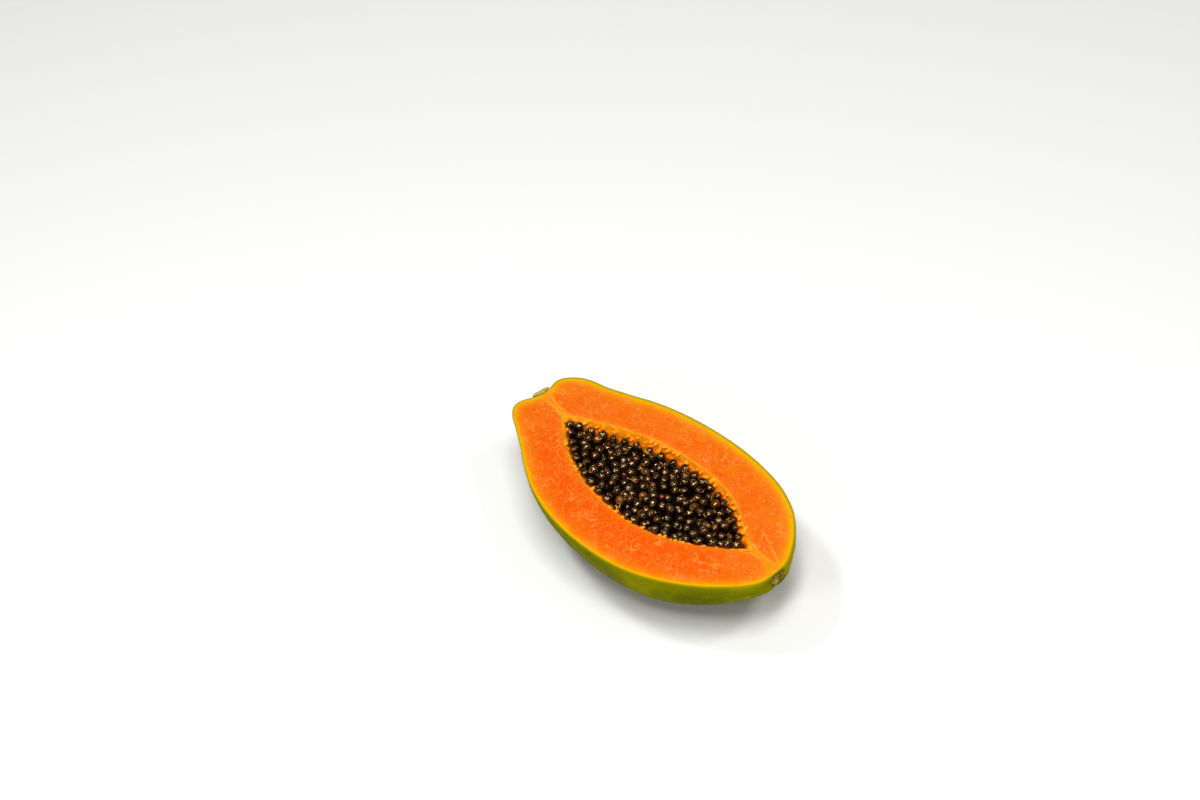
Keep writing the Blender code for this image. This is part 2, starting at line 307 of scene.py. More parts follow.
def rows_in_metres(rows, steps):
    """A smooth curve through the rows, in metres, with `steps` spans between two rows."""
    points = np.array(rows) * MM
    first = 2 * points[0] - points[1]
    last = 2 * points[-1] - points[-2]
    padded = np.vstack([first, points, last])
    curve = []
    for i in range(len(points) - 1):
        a, b, c, d = padded[i:i + 4]
        for k in range(steps):
            t = k / steps
            cubic = 3 * b - a - 3 * c + d
            square = 2 * a - 5 * b + 4 * c - d
            curve.append(b + 0.5 * ((c - a) * t + square * t ** 2 + cubic * t ** 3))
    curve.append(points[-1])
    return np.array(curve)


def lengths_along(points):
    """How far each point lies along the line through the points."""
    steps = np.linalg.norm(np.diff(points, axis=0), axis=1)
    return np.concatenate([[0.0], np.cumsum(steps)])


def evenly(points, count):
    """`count` points at even distances along the line."""
    along = lengths_along(points)
    places = np.linspace(0.0, 1.0, count)
    return np.stack([np.interp(places * along[-1], along, column) for column in points.T], axis=1)


def fade(value, start, end):
    """0 at start, 1 at end, smooth between them."""
    t = np.clip((value - start) / (end - start), 0.0, 1.0)
    return t * t * (3 - 2 * t)


def to_crease(angle):
    """Angle to the nearest of the creases."""
    step = 2 * math.pi / CARPELS
    return (angle - CREASE_ANGLE + step / 2) % step - step / 2


def waves(points, size, seed):
    """Smooth noise from -1 to 1 at the points, with humps of about that size."""
    shift = Vector((seed * 7.3, seed * 3.1, seed * 5.7))
    return np.array([noise.noise(Vector(point) / size + shift) for point in points.reshape(-1, 3)])


# The fruit's outside and its cavity


def radii(along, half_width, angles):
    """Half width and half depth of the skin's section at each place and angle, with its creases and lobes.

    The creases fade out above the axis, which keeps the outline of the cut smooth."""
    blossom = BLOSSOM_CREASE * fade(along, BLOSSOM_CREASE_START, AXIS_LENGTH)
    stem = STEM_CREASE * fade(-along, -STEM_CREASE_END, 0.0)
    near_pole = np.minimum(half_width / CREASE_FULL_RADIUS, 1.0)
    crease = (blossom + stem) * near_pole * np.exp(-(to_crease(angles) / CREASE_WIDTH) ** 2)
    crease = crease * (1 - fade(np.sin(angles), *CREASE_TOP))
    lobe = 1 - BELLY_LOBE * np.cos(CARPELS * to_crease(angles))
    taper = np.maximum(along - DEPTH_TAPER_START, 0.0) / (AXIS_LENGTH - DEPTH_TAPER_START)
    share = FULL_DEPTH_SHARE + (END_DEPTH_SHARE - FULL_DEPTH_SHARE) * taper ** 2
    return half_width * lobe - crease, half_width * share * lobe - crease


def axis_drop(along):
    return BLOSSOM_DROP * np.maximum(along / AXIS_LENGTH, 0.0) ** DROP_POWER


def fruit_points(along, half_width, offset, angles):
    """Points of the skin. Angle 0 is the far side and pi the near side, at the cut."""
    real_width, real_depth = radii(along, half_width, angles)
    y = offset + real_width * np.cos(angles)
    z = FACE_HEIGHT - axis_drop(along) + real_depth * np.sin(angles)
    slant = SHOULDER_SLANT * (1 - fade(along, 0.0, SLANT_END))
    x = STEM_END_X + along + slant * (y - FRUIT_ROWS[0][2] * MM)
    return np.stack(np.broadcast_arrays(x, y, z), axis=-1)


def in_columns(rows):
    """The rows' three values as columns, to go with angles along the other axis."""
    return rows[:, 0, None], rows[:, 1, None], rows[:, 2, None]


def rise_to_face(rows, side):
    """How far past the horizontal the skin goes on up to the cut. A quarter turn closes the ring."""
    along, half_width = in_columns(rows)[:2]
    rise = np.zeros((len(rows), 1))
    for repeat in range(RISE_ROUNDS):
        angle = rise if side > 0 else math.pi - rise
        real_depth = np.maximum(radii(along, half_width, angle)[1], SAME_PLACE)
        rise = np.arcsin(np.clip(axis_drop(along) / real_depth, 0.0, 1.0))
    return rise


def cavity_points(rows, angles, inset=0.0):
    """Points of the cavity's wall, or of a surface `inset` inside it."""
    along, half_width, offset = in_columns(rows)
    lobe = 1 - CAVITY_LOBE * np.cos(CARPELS * to_crease(angles))
    radius = np.maximum(half_width * lobe - inset, 0.0)
    y = offset + radius * np.cos(angles)
    z = FACE_HEIGHT + radius * CAVITY_DEPTH_SHARE * np.sin(angles)
    x = STEM_END_X + along + 0.0 * angles
    return np.stack(np.broadcast_arrays(x, y, z), axis=-1)


# Meshes


class Shape:
    """Vertices, faces and values of one mesh, gathered grid by grid."""

    def __init__(self, *values):
        self.points = []
        self.faces = []
        self.looks = []
        self.values = {name: [] for name in values}
        self.count = 0

    def grid(self, points, looks=0, closed=False, turned=False, **values):
        """Add a grid of points (lines, columns, 3). `closed` joins the last column to the first."""
        lines, columns = points.shape[:2]
        index = self.count + np.arange(lines * columns).reshape(lines, columns)
        beyond = np.roll(index, -1, axis=1) if closed else index[:, 1:]
        here = index if closed else index[:, :-1]
        corners = [here[:-1], beyond[:-1], beyond[1:], here[1:]]
        if turned:
            corners.reverse()
        faces = np.stack(corners, axis=-1)
        looks = np.broadcast_to(looks, faces.shape[:2]).reshape(-1)
        self.add(points.reshape(-1, 3), faces.reshape(-1, 4), looks, **values)

    def add(self, points, faces, looks=0, **values):
        """Add points, faces whose corners count from the shape's first point, and the points' values."""
        self.points.append(points)
        self.faces.append(faces)
        self.looks.append(np.broadcast_to(looks, len(faces)))
        for name, kept in self.values.items():
            value = np.asarray(values.get(name, 0.0), dtype=float)
            kept.append(np.broadcast_to(value.reshape(-1), len(points)))
        self.count += len(points)

    def build(self, name, materials):
        """The finished object, with its values as attributes of the points."""
        points = np.vstack(self.points)
        faces = np.vstack(self.faces)
        mesh = bpy.data.meshes.new(name)
        mesh.from_pydata(points.tolist(), [], faces.tolist())
        mesh.polygons.foreach_set("material_index", np.concatenate(self.looks).astype(np.int32))
        mesh.polygons.foreach_set("use_smooth", np.ones(len(faces), dtype=bool))
        for value_name, kept in self.values.items():
            attribute = mesh.attributes.new(value_name, "FLOAT", "POINT")
            attribute.data.foreach_set("value", np.concatenate(kept).astype(np.float32))
        for finish in materials:
            mesh.materials.append(finish)
        mesh.validate()
        item = bpy.data.objects.new(name, mesh)
        bpy.context.scene.collection.objects.link(item)
        return item


def distances(points, line, step=0.3 * MM):
    """Distance in mm from each point to a line, which is sampled finely."""
    count = max(int(lengths_along(line)[-1] / step), 2)
    samples = evenly(line, count)
    tree = KDTree(len(samples))
    for index, sample in enumerate(samples):
        tree.insert(sample, index)
    tree.balance()
    return np.array([tree.find(point)[2] for point in points.reshape(-1, 3)]) / MM


# The half: its skin, its cut face and the wall of its cavity


def skin_points(rows):
    """The skin from the near rim round the bottom to the far rim, and how many of its rows reach the cut.

    The rows beyond lie under the cut all round, at the blossom end, so their rings close."""
    rise = {side: rise_to_face(rows, side) for side in (-1, 1)}
    closed = (np.maximum(rise[-1], rise[1]) >= math.pi / 2)[:, 0] & (rows[:, 0] > AXIS_LENGTH / 2)
    reaching = int(np.argmax(closed))
    for side in (-1, 1):
        rise[side][reaching:] = math.pi / 2
    near = math.pi - rise[-1]
    far = 2 * math.pi + rise[1]
    angles = near + (far - near) * np.linspace(0.0, 1.0, SKIN_COLUMNS)
    points = fruit_points(*in_columns(rows), angles)
    swell = waves(points, SKIN_WAVE_SIZE, 1).reshape(angles.shape) * SKIN_WAVE
    swell *= np.minimum(rows[:, 1, None] / CREASE_FULL_RADIUS, 1.0)
    points[..., 1] += swell * np.cos(angles)
    points[..., 2] += swell * np.sin(angles)
    points[:reaching, (0, -1), 2] = FACE_HEIGHT
    points[..., 2] = np.clip(points[..., 2], 0.0, FACE_HEIGHT)
    return points, reaching


def cavity_rows_beside(rim):
    """The cavity's row that each point of one side's rim is joined to across the cut face."""
    rows = rows_in_metres(CAVITY_ROWS, CAVITY_FINE_STEPS)
    start, end = rows[0, 0], rows[-1, 0]
    beside = np.clip((rim[:, 0] - STEM_END_X - start) / (end - start), 0.0, 1.0)
    by_length = lengths_along(rim) / lengths_along(rim)[-1]
    along = start + (end - start) * (PLACE_SHARE * beside + LENGTH_SHARE * by_length)
    return np.stack([np.interp(along, rows[:, 0], column) for column in rows.T], axis=1)


def face_lines(rim, edge):
    """The cut face between the rim and the cavity's edge, gently wavy and rounded over at the cavity."""
    share = np.linspace(0.0, 1.0, FACE_STEPS)
    share = 0.5 * share + 0.25 * (1 - np.cos(math.pi * share))
    lines = rim + (edge - rim) * share[:, None, None]
    to_edge = np.linalg.norm(lines - edge, axis=-1)
    to_rim = np.linalg.norm(lines - rim, axis=-1)
    calm = fade(np.minimum(to_edge, to_rim), 0.0, FACE_CALM)
    lines[..., 2] += waves(lines, FACE_WAVE_SIZE, 2).reshape(to_edge.shape) * FACE_WAVE * calm
    lines[..., 2] -= FACE_LIP * np.exp(-(to_edge / LIP_WIDTH) ** 2)
    return lines


def wall_lines(cavity_rows, side):
    """The cavity's wall from its edge down to the keel, with bumps of pulp on it."""
    turn = np.linspace(0.0, math.pi / 2, WALL_STEPS + 1)[1:]
    angles = -turn if side > 0 else math.pi + turn
    wall = cavity_points(cavity_rows, angles[None, :])
    depth = FACE_HEIGHT - wall[..., 2]
    coarse = np.maximum(waves(wall, PULP_GRAIN, 3).reshape(depth.shape), 0.0)
    fine = np.abs(waves(wall, PULP_GRAIN / 2, 4)).reshape(depth.shape)
    bumps = PULP_COARSE * coarse + PULP_FINE * fine
    inward = PULP_RELIEF * bumps * fade(depth, 0.0, PULP_START)
    inward = np.minimum(inward, cavity_rows[:, 1, None] * PULP_LIMIT)
    wall[..., 1] -= inward * np.cos(angles)
    wall[..., 2] -= inward * np.sin(angles)
    wall[..., 2] -= FACE_LIP * np.exp(-(depth / LIP_WIDTH) ** 2)
    return wall.transpose(1, 0, 2)


def build_half(skin, flesh, pulp):
    rows = evenly(rows_in_metres(FRUIT_ROWS, FRUIT_FINE_STEPS), SKIN_ROWS)
    points, reaching = skin_points(rows)
    shape = Shape("rim_distance", "cavity_distance", "vein_distance", "core_distance", "depth", "scar")
    scar_centre = points[-1, 0]
    shape.grid(points, looks=0, depth=(FACE_HEIGHT - points[..., 2]) / MM,
               scar=np.linalg.norm(points - scar_centre, axis=-1) / MM)
    rims = {1: points[:reaching + 1, -1], -1: points[:reaching + 1, 0]}
    columns = []
    for side in (1, -1):
        beside = cavity_rows_beside(rims[side])
        edge = cavity_points(beside, np.array([[0.0 if side > 0 else math.pi]]))[:, 0]
        edge[:, 2] -= SAME_PLACE
        columns.append(np.vstack([face_lines(rims[side], edge), wall_lines(beside, side)]))
    rim = np.vstack([rims[1], rims[-1][::-1]])
    rows_of_cavity = rows_in_metres(CAVITY_ROWS, CAVITY_FINE_STEPS)
    far_edge = cavity_points(rows_of_cavity, np.array([[0.0]]))[:, 0]
    near_edge = cavity_points(rows_of_cavity, np.array([[math.pi]]))[:, 0]
    outline = np.vstack([far_edge, near_edge[::-1]])
    veins = [outline] + [on_face(line) for line in VEINS]
    cores = [on_face(line) for line in CORES]
    for side, lines in zip((1, -1), columns):
        shape.grid(
            lines,
            looks=np.where(np.arange(len(lines) - 1) < FACE_STEPS - 1, 1, 2)[:, None],
            turned=side < 0,
            rim_distance=distances(lines, rim),
            cavity_distance=distances(lines, outline),
            vein_distance=np.min([distances(lines, line) for line in veins], axis=0),
            core_distance=np.min([distances(lines, line) for line in cores], axis=0),
            depth=(FACE_HEIGHT - lines[..., 2]) / MM,
        )
    return shape.build("papaya_half", (skin, flesh, pulp))


def on_face(line):
    """A line on the cut face, given in mm along and across the part, in metres."""
    return np.array([(x * MM, y * MM, FACE_HEIGHT) for x, y in line])


# The seeds


def cavity_beside(x):
    """Distance from the stem end, half width and side offset of the cavity at this x."""
    along, half_widths, offsets = rows_in_metres(CAVITY_ROWS, CAVITY_STEPS).T
    place = x - STEM_END_X
    return place, np.interp(place, along, half_widths), np.interp(place, along, offsets)


def wall_reach(half_width):
    """How deep the cavity goes, with room left under the bed."""
    return np.maximum(half_width - BED_INSET, 0.0) * CAVITY_DEPTH_SHARE


def bed_depth(along, half_width, across):
    """Depth of the bed under the cut, where `across` goes from -1 on the near side to 1 on the far side."""
    start, end = CAVITY_ROWS[0][0] * MM, CAVITY_ROWS[-1][0] * MM
    share = (along - start) / (end - start)
    far = BED_DEPTH_FAR_STEM + (BED_DEPTH_FAR_BLOSSOM - BED_DEPTH_FAR_STEM) * share
    far = np.minimum(far, BED_DEEPEST_FAR * wall_reach(half_width))
    near = np.minimum(BED_DEPTH_NEAR, BED_DEEPEST_NEAR * wall_reach(half_width))
    return near + (far - near) * (across + 1) / 2


def seed_place(x, y, lift):
    """The middle of a seed that lies on the bed at x, y, or None where that isn't in the cavity."""
    along, half_width, offset = cavity_beside(x)
    across = (y - offset) / max(half_width, SAME_PLACE)
    depth = bed_depth(along, half_width, across) - lift
    if math.hypot(across, depth / max(wall_reach(half_width), SAME_PLACE)) >= 1:
        return None
    return np.array([x, y, FACE_HEIGHT - depth])


def wall_places():
    """Points all over the cavity's wall, to keep the seeds clear of it."""
    fine = rows_in_metres(CAVITY_ROWS, 3 * CAVITY_STEPS)
    angles = np.linspace(math.pi, 2 * math.pi, 3 * CAVITY_SIDES)
    return cavity_points(fine, angles[None, :]).reshape(-1, 3)


def is_free(place, wall, others, spacing, room=SEED_RADIUS * SEED_LENGTHENING + SEED_CLEARANCE):
    """True where a seed is clear of the wall and not too close to the seeds that are there already."""
    if np.linalg.norm(wall - place, axis=1).min() < room:
        return False
    return not others or np.linalg.norm(np.array(others) - place, axis=1).min() > spacing


def edge_places(wall, draw):
    """Seeds that lie along the edge of the cavity, each as near to the wall as it can."""
    places = []
    for along, half_width, offset in rows_in_metres(CAVITY_ROWS, EDGE_STEPS):
        for side in (-1, 1):
            spacing = draw.uniform(*EDGE_SPACING)
            for step in range(1, int(half_width / EDGE_MOVE)):
                y = offset + side * (half_width - step * EDGE_MOVE)
                place = seed_place(STEM_END_X + along, y, SEED_LIFT)
                if place is not None and is_free(place, wall, (), 0.0):
                    if is_free(place, wall, places, spacing):
                        places.append(place)
                    break
    return places


def drawn_place(draw, middle):
    """A place drawn at random over the bed, around this height over it, or None outside the cavity."""
    start, end = (STEM_END_X + CAVITY_ROWS[i][0] * MM for i in (0, -1))
    widest = max(row[1] + abs(row[2]) for row in CAVITY_ROWS) * MM
    lift = middle + draw.uniform(-1, 1) * SEED_HEIGHT_JITTER
    return seed_place(draw.uniform(start, end), draw.uniform(-widest, widest), lift)


def top_places(wall):
    """The seeds on top, which lie where the solids' seeds are."""
    draw = random.Random(RANDOM_SEED)
    places = edge_places(wall, draw)
    for attempt in range(SCATTER_ATTEMPTS):
        place = drawn_place(draw, SEED_LIFT)
        if place is not None and is_free(place, wall, places, SEED_SPACING):
            places.append(place)
    return places


def all_seeds():
    """Place and radius of every seed that shows, layer under layer."""
    draw = random.Random(RANDOM_SEED + 1)
    wall = wall_places()
    places = top_places(wall)
    seeds = [(place, SHOWN_RADIUS) for place in places]
    for radius, depth, spacing, room, attempts in SEED_LAYERS:
        for attempt in range(attempts):
            place = drawn_place(draw, -depth)
            if place is not None and is_free(place, wall, places, spacing, room):
                places.append(place)
                seeds.append((place, radius))
    return seeds


def seed_form(variant):
    """One seed of radius 1 along X: egg-shaped, wrinkled under its wet coat, with a ring round its scar."""
    polar = np.linspace(0.0, math.pi, SEED_LINES)[:, None]
    egg = 1 + SEED_EGG * np.cos(polar)
    ring = SEED_RING * np.exp(-((polar - SEED_RING_ANGLE) / SEED_RING_WIDTH) ** 2)
    dimple = -SEED_DIMPLE * np.exp(-(polar / SEED_RING_ANGLE) ** 2)
    base = ball(SEED_LINES, SEED_COLUMNS)
    lumps = SEED_LUMPS[0] * waves(base, SEED_LUMPS[1], 10 + variant)
    lumps = lumps + SEED_WRINKLES[0] * waves(base, SEED_WRINKLES[1], 20 + variant)
    radius = egg + ring + dimple + lumps.reshape(base.shape[:2])
    return base * radius[..., None], np.broadcast_to(polar / math.pi, base.shape[:2])


def any_turn(draw, tilt):
    """A small tilt, drawn at random."""
    return np.array(Euler([draw.uniform(-1, 1) * tilt for axis in range(3)]).to_matrix())


def build_seeds(seeds, finish):
    draw = random.Random(RANDOM_SEED + 2)
    forms = [seed_form(variant) for variant in range(SEED_VARIANTS)]
    shape = Shape("tone", "from_scar")
    for place, radius in seeds:
        size = radius * (1 + draw.uniform(-1, 1) * SHOWN_SPREAD)
        lift = Matrix.Rotation(-draw.uniform(*SCAR_RISE), 3, "Y")
        heading = Matrix.Rotation(draw.uniform(0.0, 2 * math.pi), 3, "Z")
        form, from_scar = forms[draw.randrange(SEED_VARIANTS)]
        stretched = form * (size * draw.uniform(*SHOWN_LENGTHS), size, size)
        turned = stretched @ (any_turn(draw, SEED_TILT) @ np.array(heading @ lift)).T
        shape.grid(turned + place, closed=True, turned=True, tone=draw.random(), from_scar=from_scar)
    return shape.build("papaya_seeds", (finish,))


def build_bed(finish):
    """The pulp under the seeds: it rises a little to the cavity's wall, amber there, and dark further in,
    which is painted shade in the gaps between the seeds.
    """
    rows = evenly(rows_in_metres(CAVITY_ROWS, CAVITY_FINE_STEPS), BED_LINES)
    along, half_width, offset = in_columns(rows)
    across = np.linspace(-1.0, 1.0, BED_COLUMNS)[None, :]
    x = STEM_END_X + along + 0.0 * across
    y = offset + half_width * across
    from_wall = half_width * (1 - np.abs(across))
    height = FACE_HEIGHT - bed_depth(along, half_width, across) - BED_SINK
    height = height + BED_RISE * np.exp(-(from_wall / BED_RISE_WIDTH) ** 2)
    points = np.stack([x, y, height], axis=-1)
    points[..., 2] += BED_WAVE * waves(points, BED_WAVE_SIZE, 30).reshape(x.shape)
    points[..., 2] = np.minimum(points[..., 2], FACE_HEIGHT - BED_HEADROOM)
    shape = Shape("from_wall")
    shape.grid(points, turned=True, from_wall=from_wall / MM)
    return shape.build("papaya_seed_bed_painted_shade", (finish,))


def ball(lines, columns):
    """Points of a ball of radius 1, line by line round the X axis."""
    polar = np.linspace(0.0, math.pi, lines)[:, None]
    around = np.linspace(0.0, 2 * math.pi, columns, endpoint=False)[None, :]
    return np.stack(np.broadcast_arrays(
        np.cos(polar), np.sin(polar) * np.cos(around), np.sin(polar) * np.sin(around)), axis=-1)


def waved(form, wave, seed):
    """The form with humps on it, where the wave is their height and size as shares of its radius."""
    return form * (1 + wave[0] * waves(form, wave[1], seed).reshape(LUMP_LINES, -1, 1))


def build_lumps(finish):
    """Lumps of pulp on the cavity's wall, where seeds came away."""
    draw = random.Random(RANDOM_SEED + 3)
    round_form = ball(LUMP_LINES, LUMP_COLUMNS)
    rows = rows_in_metres(CAVITY_ROWS, CAVITY_FINE_STEPS)[CAVITY_FINE_STEPS:-CAVITY_FINE_STEPS]
    shape = Shape("depth")
    for index in range(LUMPS):
        row = rows[draw.randrange(len(rows))]
        depth = draw.uniform(*LUMP_DEPTHS)
        turn = math.asin(min(depth / max(wall_reach(row[1]), depth), 1.0))
        angle = -turn if draw.random() < LUMPS_ON_FAR_SIDE else math.pi + turn
        radius = draw.uniform(*LUMP_RADII)
        centre = cavity_points(row[None, :], np.array([[angle]]), inset=LUMP_SINK * radius)[0, 0]
        form = waved(round_form, LUMP_WAVES, 40 + index)
        form = form * (radius * draw.uniform(*LUMP_LENGTHS), radius, radius * LUMP_FLATNESS)
        inward = np.array(Matrix.Rotation(math.pi / 2, 3, "Z"))
        points = form @ (any_turn(draw, LUMP_TURN) @ inward).T + centre
        points[..., 2] = np.minimum(points[..., 2], FACE_HEIGHT - SAME_PLACE)
        shape.grid(points, closed=True, turned=True, depth=(FACE_HEIGHT - points[..., 2]) / MM)
    return shape.build("papaya_pulp_lumps", (finish,))


def strand(middle, radius):
    """A thin strand along a line, thinner at its ends."""
    share = np.linspace(0.0, 1.0, len(middle))[:, None]
    ahead = np.gradient(middle, axis=0)
    ahead /= np.linalg.norm(ahead, axis=1)[:, None]
    side = np.cross(ahead, (0.0, 0.0, 1.0))
    side /= np.maximum(np.linalg.norm(side, axis=1)[:, None], SAME_PLACE)
    above = np.cross(side, ahead)
    turn = np.linspace(0.0, 2 * math.pi, SAC_SIDES, endpoint=False)[None, :, None]
    thick = radius * (0.4 + 0.6 * np.sin(math.pi * share))[:, None]
    return middle[:, None] + thick * (side[:, None] * np.cos(turn) + above[:, None] * np.sin(turn))


def build_sacs(seeds, finish):
    """What is left of the clear sacs round the seeds: torn amber edges that curl, and drops of jelly."""
    draw = random.Random(RANDOM_SEED + 4)
    shape = Shape("tone")
    for index in range(SACS):
        place, radius = seeds[draw.randrange(len(seeds))]
        start, sweep = draw.uniform(0.0, 2 * math.pi), draw.uniform(*SAC_SWEEP)
        angles = start + np.linspace(0.0, sweep, SAC_LINES)
        reach = radius * draw.uniform(*SAC_REACH) * (1 + SAC_WAVE * np.sin(3 * angles + start))
        swing = SAC_SWING * radius * np.sin(2 * angles)
        line = np.stack([reach * np.cos(angles), reach * np.sin(angles), swing], axis=1)
        line = line @ any_turn(draw, SAC_TILT).T + place + (0.0, 0.0, SAC_LIFT * radius)
        shape.grid(strand(line, draw.uniform(*SAC_RADII)), closed=True, tone=draw.random())
    round_form = ball(LUMP_LINES, LUMP_COLUMNS)
    for index in range(DROPS):
        place, radius = seeds[draw.randrange(len(seeds))]
        heading = draw.uniform(0.0, 2 * math.pi)
        beside = np.array([math.cos(heading), math.sin(heading), DROP_LIFT]) * radius
        form = waved(round_form, DROP_WAVES, 200 + index)
        drop = form * draw.uniform(*DROP_RADII) @ any_turn(draw, math.pi).T
        shape.grid(drop + place + beside, closed=True, turned=True, tone=draw.random())
    return shape.build("papaya_sacs", (finish,))


# The stub of the stalk


def stub_points(shares, heights, angles):
    """Points of the stub, by their share of its radius and their height over the hollow it sits in."""
    hollow, first_ring = (np.array(row) * MM for row in FRUIT_ROWS[:2])
    lobe = 1 - STUB_LOBE * np.cos(CARPELS * to_crease(angles)) * shares
    across = shares * lobe * STUB_RADIUS / first_ring[1]
    values = [hollow[k] + (first_ring[k] - hollow[k]) * across for k in range(3)]
    return fruit_points(*values, angles) - np.asarray(heights)[..., None] * (MM, 0.0, 0.0)


def build_stub(finish):
    profile = evenly(rows_in_metres(STUB_PROFILE, 6), STUB_LINES) / MM
    shares, heights = profile[:, 0, None], profile[:, 1, None]
    angles = np.linspace(math.pi, 2 * math.pi, STUB_COLUMNS)[None, :]
    outside = stub_points(shares, heights, angles)
    ribs = STUB_RIBS * np.cos(STUB_RIB_COUNT * angles) * np.minimum(shares, 1.0)
    outside[..., 0] += ribs
    widest = int(np.argmax(profile[:, 0]))
    signed = np.linspace(-1.0, 1.0, STUB_COLUMNS)[None, :] * profile[widest, 0]
    low = np.interp(np.abs(signed), profile[:widest + 1, 0], profile[:widest + 1, 1])
    high = np.interp(np.abs(signed), profile[widest:, 0][::-1], profile[widest:, 1][::-1])
    share = np.linspace(0.0, 1.0, STUB_LINES)[:, None]
    cut = stub_points(np.abs(signed), low + (high - low) * share, np.where(signed < 0, math.pi, 2 * math.pi))
    cut[..., 2] = FACE_HEIGHT
    shape = Shape("on_cut")
    shape.grid(outside, on_cut=0.0)
    shape.grid(cut, turned=True, on_cut=1.0)
    return shape.build("papaya_stalk_stub", (finish,))


# Finishes


class Finish:
    """One procedural material. Sizes in its patterns are in millimetres."""

    def __init__(self, name, settings):
        self.material = bpy.data.materials.new(name)
        self.material.use_nodes = True
        self.nodes = self.material.node_tree.nodes
        self.links = self.material.node_tree.links
        self.shader = self.nodes["Principled BSDF"]
        for socket, value in settings.items():
            self.shader.inputs[socket].default_value = value
        places = self.nodes.new("ShaderNodeTexCoord").outputs["Object"]
        self.places = self.vector("MULTIPLY", places, (1 / MM, 1 / MM, 1 / MM))

    def put(self, socket, source):
        """Link the source to the socket, or set it where the source is a plain value."""
        if isinstance(source, bpy.types.NodeSocket):
            self.links.new(source, socket)
        else:
            socket.default_value = source

    def vector(self, operation, first, second):
        node = self.nodes.new("ShaderNodeVectorMath")
        node.operation = operation
        self.put(node.inputs[0], first)
        self.put(node.inputs[1], second)
        return node.outputs["Vector"]

    def math(self, operation, first, second=0.0):
        node = self.nodes.new("ShaderNodeMath")
        node.operation = operation
        for socket, source in zip(node.inputs, (first, second)):
            self.put(socket, source)
        return node.outputs["Value"]

    def axis(self, name):
        """The X, Y or Z of the place, in mm."""
        node = self.nodes.new("ShaderNodeSeparateXYZ")
        self.put(node.inputs[0], self.places)
        return node.outputs[name]

    def value(self, name):
        """A value kept in the mesh's points."""
        node = self.nodes.new("ShaderNodeAttribute")
        node.attribute_name = name
        return node.outputs["Fac"]

    def noise(self, size, detail=2.0, distortion=0.0, seed=0.0, at=None, roughness=0.5):
        """Noise around 0.5 with humps of about that size in mm."""
        node = self.nodes.new("ShaderNodeTexNoise")
        shifted = self.vector("ADD", at or self.places, (seed * 31.7, seed * 17.3, seed * 23.9))
        self.put(node.inputs["Vector"], shifted)
        node.inputs["Scale"].default_value = 1 / size
        node.inputs["Detail"].default_value = detail
        node.inputs["Roughness"].default_value = roughness
        node.inputs["Distortion"].default_value = distortion
        return node.outputs["Fac"]

    def sway(self, noise, amount):
        """The noise around 0 instead of 0.5, times the amount."""
        return self.math("MULTIPLY", self.math("SUBTRACT", noise, 0.5), amount)

    def cells(self, size, seed):
        """Distance to the nearest of many points, about `size` mm apart, as a share of that size."""
        node = self.nodes.new("ShaderNodeTexVoronoi")
        shifted = self.vector("ADD", self.places, (seed * 13.1, seed * 7.7, seed * 3.3))
        self.put(node.inputs["Vector"], shifted)
        node.inputs["Scale"].default_value = 1 / size
        return node.outputs["Distance"]

    def between(self, value, low, high, start=0.0, end=1.0):
        """`start` up to low, `end` from high on, smooth between them."""
        node = self.nodes.new("ShaderNodeMapRange")
        node.interpolation_type = "SMOOTHSTEP"
        names = ("Value", "From Min", "From Max", "To Min", "To Max")
        for socket_name, source in zip(names, (value, low, high, start, end)):
            self.put(node.inputs[socket_name], source)
        return node.outputs["Result"]

    def threads(self, size, width, seed, level=0.5):
        """Thin curved lines: where the noise crosses this level. Broken up by a coarser noise."""
        field = self.noise(size, 0.6, 1.0, seed)
        away = self.math("ABSOLUTE", self.math("SUBTRACT", field, level))
        lines = self.between(away, 0.0, width, 1.0, 0.0)
        gaps = self.between(self.noise(size * 0.9, 0.0, 0.0, seed + 5.0), 0.45, 0.55)
        return self.math("MULTIPLY", lines, gaps)

    def ramp(self, value, stops):
        """A colour for each value from 0 to 1, by stops of (value, colour)."""
        node = self.nodes.new("ShaderNodeValToRGB")
        elements = node.color_ramp.elements
        while len(elements) < len(stops):
            elements.new(0.5)
        for element, (place, colour) in zip(elements, stops):
            element.position = place
            element.color = colour
        self.put(node.inputs["Fac"], value)
        return node.outputs["Color"]

    def mix(self, first, second, share):
        node = self.nodes.new("ShaderNodeMix")
        node.data_type = "RGBA"
        self.put(node.inputs[0], share)
        self.put(node.inputs[6], first)
        self.put(node.inputs[7], second)
        return node.outputs[2]

    def bump(self, height, depth, below=None):
        """Relief `depth` mm deep."""
        node = self.nodes.new("ShaderNodeBump")
        node.inputs["Strength"].default_value = 1.0
        node.inputs["Distance"].default_value = depth * MM
        self.put(node.inputs["Height"], height)
        if below is not None:
            self.put(node.inputs["Normal"], below)
        return node.outputs["Normal"]

    def colour(self, source):
        self.put(self.shader.inputs["Base Color"], source)

    def roughness(self, source):
        self.put(self.shader.inputs["Roughness"], source)

    def normal(self, source):
        self.put(self.shader.inputs["Normal"], source)


